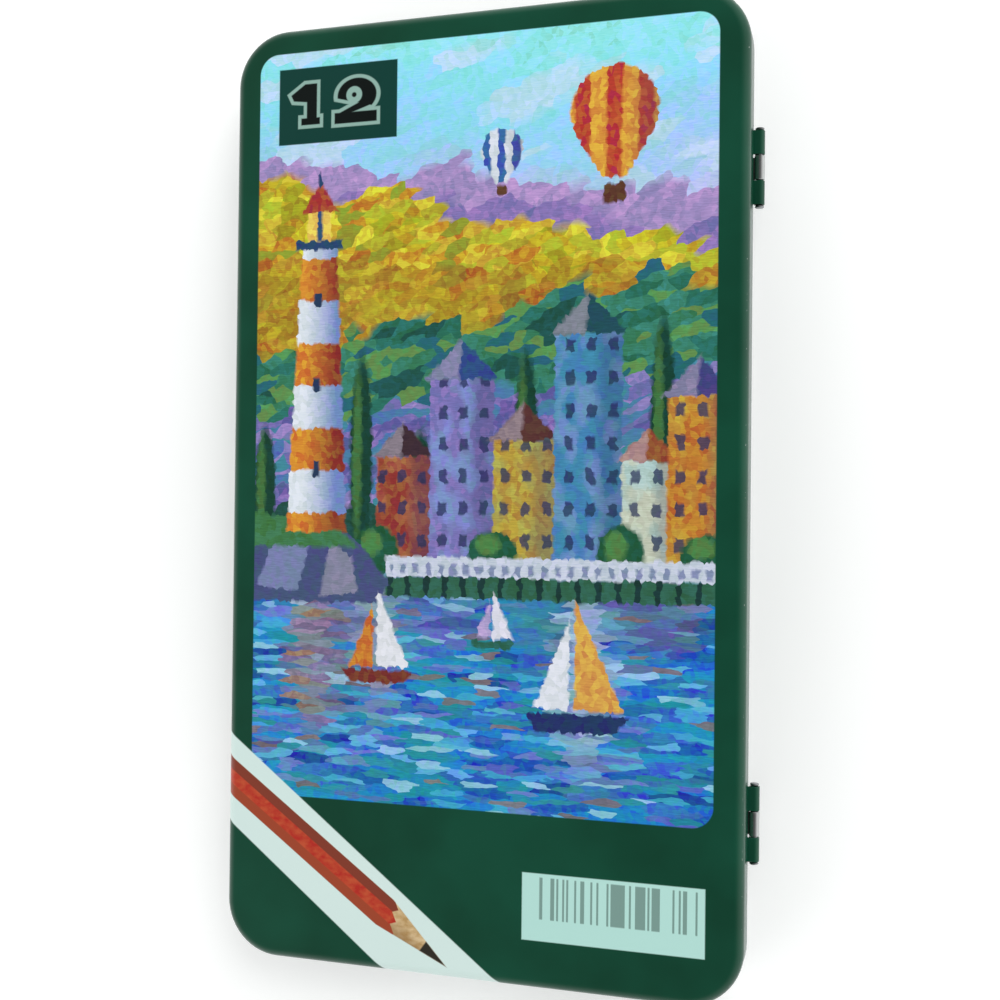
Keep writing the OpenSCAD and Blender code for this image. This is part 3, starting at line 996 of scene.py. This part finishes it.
def banded(name, grid, ends, materials):
    """A closed shell whose columns of faces change material at each of the given ends."""
    rows, columns = grid.shape[:2]
    band = np.searchsorted(ends, np.arange(columns - 1), side="right")
    slots = [*np.tile(band, rows), 0, len(materials) - 1]
    return piece(name, grid, closed_shell(grid), materials, slots)


printed_face, bare_face = lid_profile()
core = LID_HALF - LID_CORNER
along_x = stations(-core[0], core[0], 5)
along_y = stations(-core[1], core[1], 5, (-DIMPLE_Y, 2.4, 0.3), (DIMPLE_Y, 2.4, 0.3))
lid_path = walk_round(LID_HALF, LID_CORNER, along_x, along_y)
lid_grid = carry(lid_path, LID_CORNER, np.concatenate([printed_face, bare_face]))
press_dimples(lid_grid)

# Columns of faces: the top with the bend, then the skirt with the hem, then the bare inside.
lid_bands = [BEND_END, len(printed_face) - 1]
lid_shell = banded("lid_shell", lid_grid, lid_bands, [lid_print, skirt_print, tinplate])

# %% [markdown]
# ## The base
# The base is drawn the same way. Its upper edge is curled inwards into a hollow bead, so no sharp
# edge meets the fingers, and a low rib outside stops the lid. The rib fades out in front, where a
# thumb reaches in. Two profiles with the same number of points, one with the rib and one without,
# are mixed along the path, so the rib runs out smoothly.

# %% Shape of the base

CURL = 0.45
RIB_Z = 6.3
RIB_FADE = 1.5
THUMB = 11.0


def base_profile(rib):
    """From the middle of the floor out, up the wall inside, round the curl, down the wall outside
    over the rib, and back under the floor. The rib's height is scaled by a number from 0 to 1, and
    the wall behind it sinks in as exp(-(distance / 0.4)^2)."""
    bend = [BASE_BEND, BASE_BEND]
    curl = [CURL, BASE_TOP - CURL]
    wall = np.linspace(BASE_BEND + 0.3, curl[1] - CURL - 0.1, 25)
    groove = SHEET - rib * 0.45 * np.exp(-((wall - RIB_Z) / 0.4) ** 2)
    outer_rib = arc([0, RIB_Z], RIB, 90, 270, 12) * [rib, 1]
    above_rib = [[0, 9.5], [0, 8], [0, RIB_Z + RIB + 0.15]]
    below_rib = [[0, RIB_Z - RIB - 0.15], [0, 3.5]]
    return np.concatenate([
        [[BASE_CORNER - 1, SHEET], [BASE_BEND + 0.8, SHEET]],
        arc(bend, BASE_BEND - SHEET, 270, 180), np.stack([groove, wall], axis=1),
        arc(curl, CURL, 250.5, 540, 18), above_rib, outer_rib, below_rib,
        arc(bend, BASE_BEND, 180, 270), [[BASE_BEND + 0.8, 0], [BASE_CORNER - 1, 0]]])


core = BASE_HALF - BASE_CORNER
along_x = stations(-core[0], core[0], 5)
along_y = stations(-core[1], core[1], 5, (-THUMB - 0.8, 0.8, 0.2), (THUMB + 0.8, 0.8, 0.2))
base_path = walk_round(BASE_HALF, BASE_CORNER, along_x, along_y)
plain = carry(base_path, BASE_CORNER, base_profile(0.0))
ribbed = carry(base_path, BASE_CORNER, base_profile(1.0))
front = base_path[1][:, 0] < -0.999
rib_share = np.where(front, np.clip((abs(base_path[0][:, 1]) - THUMB) / RIB_FADE, 0, 1), 1.0)
rib_share = (3 * rib_share ** 2 - 2 * rib_share ** 3)[:, None, None]
base_grid = plain + rib_share * (ribbed - plain)
base_shell = piece("base_shell", base_grid, closed_shell(base_grid), [tinplate])

# %% [markdown]
# ## Hinge knuckles and pins
# A knuckle is a tongue of the sheet that is rolled round the pin. Its cross-section across the
# sheet is a thin rectangle with broken edges, and that rectangle is carried along the roll: out of
# the skirt, then almost all the way round. The lid's tongues go over the pin and the base's under
# it, which is why the lid opens flat.

# %% Shape of the knuckles

KNUCKLE = 4.5
KNUCKLE_STEP = KNUCKLE + 0.2
ROLL = 0.81
ROLL_TURN = 293.0


def tongue(start_x, over):
    """The middle line of a rolled tongue, seen along the pin: level from the skirt to the pin's
    top (over = 1) or bottom (over = -1), then round the pin at the roll's radius."""
    level = np.linspace(start_x, HINGE[0] - 0.1, 4)
    level = np.stack([level, np.full(4, HINGE[1] + over * ROLL)], axis=1)
    return np.concatenate([level, arc(HINGE, ROLL, over * 90, over * (90 - ROLL_TURN), 40)])


def rolled(line, middle_y):
    """Carries a thin rectangle with broken edges along a line in the X-Z plane. Each point is
    line + across * normal, with the rectangle's other side along Y."""
    ahead = np.gradient(line, axis=0)
    ahead /= np.linalg.norm(ahead, axis=1, keepdims=True)
    normal = np.stack([-ahead[:, 1], ahead[:, 0]], axis=1)
    a, b, c = SHEET / 2, KNUCKLE / 2, 0.06
    section = np.array([[a, c - b], [a, b - c], [a - c, b], [c - a, b],
                        [-a, b - c], [-a, c - b], [c - a, -b], [a - c, -b]])
    flat = line[:, None, :] + section[None, :, :1] * normal[:, None, :]
    across = np.broadcast_to(middle_y + section[:, 1], flat.shape[:2])
    return np.stack([flat[..., 0], across, flat[..., 1]], axis=2)


def tube_faces(rows, columns):
    """Faces of a grid that closes round its columns, with both open ends filled."""
    end = (rows - 1) * columns
    return [*cells(rows, columns, wrap_columns=True), list(range(columns))[::-1],
            list(range(end, end + columns))]


def knuckles(name, line, places, material):
    """One piece with a rolled tongue at each place along Y."""
    points = np.array([rolled(line, y) for y in places])
    count, rows, columns = points.shape[:3]
    faces = tube_faces(rows, columns)
    firsts = range(0, count * rows * columns, rows * columns)
    every = [[corner + first for corner in face] for first in firsts for face in faces]
    return piece(name, points, every, [material], smooth=False)


lid_places = [y + end * KNUCKLE_STEP for y in HINGE_Y for end in (-1, 1)]
lid_knuckles = knuckles("lid_knuckles", tongue(LID_HALF[0] - SHEET / 2, 1), lid_places, skirt_print)
base_knuckles = knuckles("base_knuckles", tongue(BASE_HALF[0] - SHEET / 2, -1), HINGE_Y, tinplate)

# %% Shape of the pins


def turned(profile, steps=32):
    """A profile of (distance along, radius) turned about the axis: (r cos t, along, r sin t)."""
    turn = np.linspace(0, 2 * np.pi, steps, endpoint=False)
    along = np.broadcast_to(profile[:, :1], (len(profile), steps))
    return np.stack([profile[:, 1:] * np.cos(turn), along, profile[:, 1:] * np.sin(turn)], axis=2)


PIN = 0.6
HEAD = 0.85
pin_half = (pin_high[1] - pin_low[1]) / 2
pin_end = np.array([[0.0, PIN], [pin_half - 0.44, PIN], [pin_half - 0.4, HEAD - 0.1],
                    [pin_half - 0.34, HEAD - 0.02], [pin_half - 0.2, HEAD],
                    [pin_half - 0.06, HEAD - 0.12], [pin_half, HEAD - 0.4]])
pin_profile = np.concatenate([pin_end[:0:-1] * [-1, 1], pin_end])
pins = []
for place, y in zip(("lower", "upper"), HINGE_Y):
    points = turned(pin_profile) + [HINGE[0], y, HINGE[1]]
    pins.append(piece(f"{place}_pin", points, tube_faces(*points.shape[:2]), [pin_steel]))

# %% [markdown]
# ## The tray
# The tray is a thin plastic sheet, sucked down over a mould, so one height for each place
# describes it: round channels for the pencils, soft ridges between them, short ramps at the ends
# and a level rim. The grid follows the tray's rounded corners, and Solidify gives the sheet its
# thickness underneath.

# %% Shape of the tray

RIDGE_Z = tray_high[2]
PITCH = 8.0
AXIS_Z = 6.014
CHANNEL = 3.85
CHANNEL_END = 89.0
RAMP = 1.0
TRAY_SHEET = 0.5
EDGE = 0.8
TRAY_TAPER = 1.1
RIDGE_SOFT = 0.07
RIM_X = 48.2
pencil_x = (np.arange(len(COLOURS)) - (len(COLOURS) - 1) / 2) * PITCH


def tray_height(x, y):
    """The channel's round floor where it lies below the ridges, lifted to them by a smooth ramp
    at both ends, with the sharp edge between floor and ridge rounded by a soft minimum."""
    offset = np.abs(x[..., None] - pencil_x).min(axis=-1)
    floor = AXIS_Z - np.sqrt(np.clip(CHANNEL ** 2 - offset ** 2, 0.01, None))
    ramp = np.clip((np.abs(y) - CHANNEL_END + RAMP) / RAMP, 0, 1)
    floor = floor + (RIDGE_Z + 0.4 - floor) * (3 * ramp ** 2 - 2 * ramp ** 3)
    return RIDGE_Z - RIDGE_SOFT * np.log1p(np.exp((RIDGE_Z - floor) / RIDGE_SOFT))


inner_half = TRAY_HALF - EDGE
inner_corner = TRAY_CORNER - EDGE
corner_y = inner_half[1] - inner_corner
offsets = np.array([0, 1.0, 1.9, 2.6, 3.1, 3.4, 3.56, 3.68, 3.84])
offsets = np.concatenate([-offsets[:0:-1], offsets])
columns = np.concatenate([(pencil_x[:, None] + offsets).ravel(), pencil_x[:-1] + PITCH / 2])
columns = np.concatenate([columns, [-inner_half[0], -RIM_X - 0.2, RIM_X + 0.2, inner_half[0]]])
columns = np.unique(columns.round(4))
turn = np.radians(np.linspace(0, 90, 16))
rows = np.concatenate([np.linspace(0, corner_y, 14), corner_y + inner_corner * np.sin(turn),
                       np.linspace(CHANNEL_END - RAMP, CHANNEL_END, 9)])
rows = np.unique(rows.round(4))
rows = np.concatenate([-rows[:0:-1], rows])

# The columns over the channels run straight as long as the row is wide enough. The outer ones
# follow the rounded corner, and in the last rows all of them are squeezed together.
depth_in_corner = np.clip(np.abs(rows) - corner_y, 0, inner_corner)
half_width = inner_half[0] - inner_corner + np.sqrt(inner_corner ** 2 - depth_in_corner ** 2)
half_width = half_width[:, None]
share = (np.abs(columns) - RIM_X) / (inner_half[0] - RIM_X)
beside = np.sign(columns) * (RIM_X + share * (half_width - RIM_X))
outer = np.where(np.abs(columns) <= RIM_X, columns, beside)
squeezed = columns * (half_width / inner_half[0])
tray_x = np.where(half_width > RIM_X, outer, squeezed)
tray_y = np.broadcast_to(rows[:, None], tray_x.shape)
tray_top = np.stack([tray_x, tray_y, tray_height(tray_x, tray_y)], axis=2)
print("tray grid:", tray_top.shape[:2])

# %% [markdown]
# ### The tray's edge
# The grid's border is one loop of points. Rings of the same points, moved outwards and down, take
# the sheet round a small radius and down to the floor. Solidify thickens it on the inside.

# %% The tray's edge


def border(grid):
    """Numbers of a grid's border points, anticlockwise seen from above."""
    rows, columns = grid.shape[:2]
    number = np.arange(rows * columns).reshape(rows, columns)
    return np.concatenate([number[0, :-1], number[:-1, -1], number[-1, :0:-1], number[:0:-1, 0]])


loop = border(tray_top)
edge_line = tray_top.reshape(-1, 3)[loop]
centre = np.clip(edge_line[:, :2], inner_corner - inner_half, inner_half - inner_corner)
outward = edge_line[:, :2] - centre
outward /= np.linalg.norm(outward, axis=1, keepdims=True)

# Each ring is (distance out, height) from the border: a quarter round, then the tapered skirt.
bend = np.radians(np.linspace(15, 90, 6))
rings = np.stack([EDGE * np.sin(bend), -EDGE * (1 - np.cos(bend))], axis=1)
skirt = [[EDGE - TRAY_TAPER / 2, -2.4], [EDGE - TRAY_TAPER, tray_low[2] - RIDGE_Z]]
rings = np.concatenate([rings, skirt])
down = np.broadcast_to(rings[:, None, 1:], (len(rings), len(loop), 1))
ring_points = edge_line + np.concatenate([rings[:, None, :1] * outward, down], axis=2)
numbers = tray_x.size + np.arange(len(rings) * len(loop)).reshape(len(rings), -1)
numbers = np.concatenate([loop[None], numbers])
after = np.roll(numbers, -1, axis=1)
skirt_faces = np.stack([numbers[:-1], numbers[1:], after[1:], after[:-1]], axis=2).reshape(-1, 4)
tray_points = np.concatenate([tray_top.reshape(-1, 3), ring_points.reshape(-1, 3)])
tray_shell = piece("tray_shell", tray_points, [*cells(*tray_x.shape), *skirt_faces], [tray_plastic])
sheet = tray_shell.modifiers.new("sheet", "SOLIDIFY")
sheet.thickness = TRAY_SHEET * MM
sheet.offset = -1

# %% [markdown]
# ## The pencils
# A pencil is a hexagonal stick of wood in lacquer with a round lead through it. Sharpening cuts a
# cone, and where the cone meets the six flat sides the lacquer ends in a scalloped line. The line
# needs no cutting here: the cone's radius falls steadily along the pencil, so for each direction
# round the axis the place where it meets the hexagon follows from the hexagon's radius there.

# %% Shape of the pencils

FLAT = 3.386
CORNER = 3.75
LENGTH = 175.0
BUTT_Y = -LENGTH / 2
BORE = 1.52
LEAD = 1.5
TIP = 0.25
TAPER = 1 / 6
SECTOR = np.radians([0, 2.2, 4.5, 6.5, 9, 15, 22, 30, 38, 45, 51, 53.5, 55.5, 57.8])


def hexagon(turn):
    """Radius of a hexagon with rounded corners: flat / cos(angle from the flat's middle), at most
    the corner's radius."""
    from_flat = np.mod(turn, np.pi / 3) - np.pi / 6
    return np.minimum(FLAT / np.cos(from_flat), CORNER)


def casing_points(x):
    """Rows run along the outside from the butt to the bore at the cone's end, and back through
    the bore. Columns run round the axis, closer together at the six corners. On the cone the
    place along the pencil follows from the radius: length - (radius - tip) / taper."""
    turn = (np.arange(6)[:, None] * np.pi / 3 + SECTOR).ravel()
    side = hexagon(turn)
    level = np.ones_like(turn)
    butt = [(along * level, side - cut) for along, cut in ((0, 0.5), (0.03, 0.16), (0.14, 0.03))]
    shaft = [(along * level, side) for along in (0.4, 30, 80, 120, 152)]
    cone = []
    for share in (0, 0.02, 0.25, 0.5, 0.75, 1):
        radius = side + (BORE - side) * share
        cone.append((LENGTH - (radius - TIP) / TAPER, radius))
    bore = [(along * level, BORE * level) for along in (165, 100, 0)]
    along, radius = np.moveaxis(np.array(butt + shaft + cone + bore), 1, 0)
    points = [x + radius * np.cos(turn), BUTT_Y + along, AXIS_Z + radius * np.sin(turn)]
    return np.stack(points, axis=2), len(butt) + len(shaft)


lead_butt = [[0.02, LEAD - 0.25], [0.04, LEAD - 0.05], [0.12, LEAD]]
lead_shaft = [[along, LEAD] for along in (60, 120, LENGTH - 7.5)]
lead_cone = [[LENGTH - back, TIP + back * TAPER] for back in (5, 2.5, 0.35)]
lead_tip = [[LENGTH - 0.12, TIP - 0.02], [LENGTH, TIP - 0.14]]
lead_profile = np.array(lead_butt + lead_shaft + lead_cone + lead_tip)
lacquer_ends = [LENGTH - (radius - TIP) / TAPER for radius in (FLAT, CORNER)]
print("lacquer ends", np.round(lacquer_ends, 1), "mm from the butt, on a flat and on a corner")

# %% Twelve casings and leads

casings, leads = {}, {}
for colour, x in zip(COLOURS, pencil_x):
    points, lacquered = casing_points(x)
    count, around = points.shape[:2]
    faces = cells(count, around, wrap_rows=True, wrap_columns=True)[:, ::-1]
    bare = (np.arange(len(faces)) // around >= lacquered).astype(int)
    casings[colour] = piece(f"{colour}_casing", points, faces, [lacquers[colour], bare_wood], bare)
    points = turned(lead_profile, 24) + [x, BUTT_Y, AXIS_Z]
    leads[colour] = piece(f"{colour}_lead_core", points, tube_faces(*points.shape[:2]),
                          [lead_finishes[colour]])

# %% [markdown]
# ## What each piece is and where it belongs
# A new piece stands for the solid it replaces and moves with its body. Each row also gives a slot
# name, which nothing below uses.

# %% Bodies, replaced solids and slots

dressing = [(lid_shell, "tin_lid", "lid", "printed_tinplate"),
            (lid_knuckles, "tin_lid", None, "printed_tinplate"),
            (base_shell, "tin_base", "base", "bare_tinplate"),
            (base_knuckles, "tin_base", None, "bare_tinplate"),
            (tray_shell, "tin_base", "inner_tray", "tray_plastic"),
            (pins[0], "tin_base", "lower_hinge_pin", "pin_steel"),
            (pins[1], "tin_base", "upper_hinge_pin", "pin_steel")]
for colour in COLOURS:
    body = f"{colour}_pencil"
    dressing.append((casings[colour], body, f"{body}_casing", f"{colour}_lacquered_wood"))
    dressing.append((leads[colour], body, f"{body}_lead", f"{colour}_lead"))
for made, body, node, slot in dressing:
    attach(made, body)
    if node:
        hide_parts(node)
print("pieces:", len(dressing))

# %% [markdown]
# ## Floor, light and camera
# Varnish and tin show whatever stands round them, so the room matters as much as the lamps. The
# room that is mirrored is white near the horizon and dim overhead: the bends catch bright lines,
# and the flat lid, which mirrors the ceiling, keeps its deep colours. The lamps aren't mirrored.
# The floor shows the tin's shadow and turns to plain white further out.

# %% Floor


def seen_rays(brush):
    """1 for the rays that look at the surroundings, straight, in a mirror or through glass."""
    kinds = ("Camera", "Glossy", "Transmission")
    straight, mirrored, through = [brush.node("LightPath", {}, f"Is {kind} Ray") for kind in kinds]
    return brush.math("MAXIMUM", straight, brush.math("MAXIMUM", mirrored, through))


def pale_floor(brush, shader):
    """A pale surface that takes the shadow, and plain white for the rays that see it far out."""
    place = place_mm(brush)
    cloud = brush.noise(place, 0.004, 2.0)
    near = brush.mix(cloud, tint("#EBEDEC"), tint("#E7E9E8"))
    seen = seen_rays(brush)
    reach = brush.vector("LENGTH", place)
    far = brush.math("MULTIPLY", seen, brush.rescale(reach, 180, 520))
    glow = brush.math("MULTIPLY", seen, brush.rescale(reach, 60, 520, 0.22, 1.0))
    connect(brush, shader, Base_Color=brush.mix(far, near, tint("#000000")), Emission_Strength=glow)


FLOOR_Z = -0.02
FLOOR_REACH = 6000
square = ((-1, -1), (1, -1), (1, 1), (-1, 1))
corners = [[x * FLOOR_REACH, y * FLOOR_REACH, FLOOR_Z] for x, y in square]
white = (1.0, 1.0, 1.0, 1.0)
floor_finish = finish("pale_floor", pale_floor, Emission_Color=white, Specular_IOR_Level=0.0)
floor = piece("floor", corners, [[0, 1, 2, 3]], [floor_finish])

# %% Room and lamps

ROOM_LEVELS = ["#FFFFFF", "#FFFFFF", "#F4F4F4", "#D0D0D0", "#848484", "#484848"]
ROOM_LIGHT = "#C4C4C4"


def room(brush, background):
    """What is seen or mirrored is white up to a third of the way and then falls to a dim ceiling.
    The light that it sheds is the same from everywhere."""
    direction = brush.node("TexCoord", {}, 0)
    up = brush.part(direction, 2)
    walls = brush.ramp(up, ROOM_LEVELS)
    colour = brush.mix(seen_rays(brush), tint(ROOM_LIGHT), walls)
    brush.tree.links.new(colour, background.inputs["Color"])


def soft_lamp(name, place, aim, size, watts):
    """A rectangular lamp at a place that faces another place, both in millimetres. It lights the
    tin but isn't mirrored, so it leaves no bright patch on the varnish and the bare metal."""
    light = bpy.data.lights.new(name, "AREA")
    light.shape = "RECTANGLE"
    light.size, light.size_y = np.array(size) * MM
    light.energy = watts
    lamp = bpy.data.objects.new(name, light)
    bpy.context.scene.collection.objects.link(lamp)
    lamp.location = np.array(place) * MM
    ahead = Vector(np.subtract(aim, place).tolist())
    lamp.rotation_euler = ahead.to_track_quat("-Z", "Y").to_euler()
    lamp.visible_glossy = False


world = bpy.data.worlds.new("room")
bpy.context.scene.world = world
world.use_nodes = True
background = world.node_tree.nodes["Background"]
background.inputs["Strength"].default_value = 1.0
room(Brush(world.node_tree), background)
soft_lamp("key_light", (700, 850, 800), (0, 0, 0), (1000, 1000), 11.5)
soft_lamp("fill_light", (-1000, -650, 520), (0, 0, 0), (900, 900), 4.5)
strips = {"right": (800, 0, 0.9), "left": (-800, 0, 0.7),
          "back": (0, 900, 0.7), "front": (0, -900, 0.7)}
for side, (x, y, watts) in strips.items():
    soft_lamp(f"{side}_strip", (x, y, 75), (0, 0, 12), (1300, 110), watts)
bpy.context.scene.view_settings.view_transform = "Standard"
print("lamps:", [light.name for light in bpy.data.lights])

# %% Camera

CAMERA_PLACE = (74.5, -4.4, 244.9)
CAMERA_TURNS = (("Y", 16.66), ("X", 0.71), ("Z", 0.63))
camera_data = bpy.data.cameras.new("camera")
camera_data.lens = 45.27
camera_data.sensor_width = 36.0
camera_data.clip_start = 0.01
camera = bpy.data.objects.new("camera", camera_data)
bpy.context.scene.collection.objects.link(camera)
stand = Matrix.Translation([v * MM for v in CAMERA_PLACE])
for axis, degrees in CAMERA_TURNS:
    stand = stand @ Matrix.Rotation(np.radians(degrees), 4, axis)
camera.matrix_world = stand
bpy.context.scene.camera = camera
print("the camera is", round(np.linalg.norm(CAMERA_PLACE)), "mm from the tin's middle")
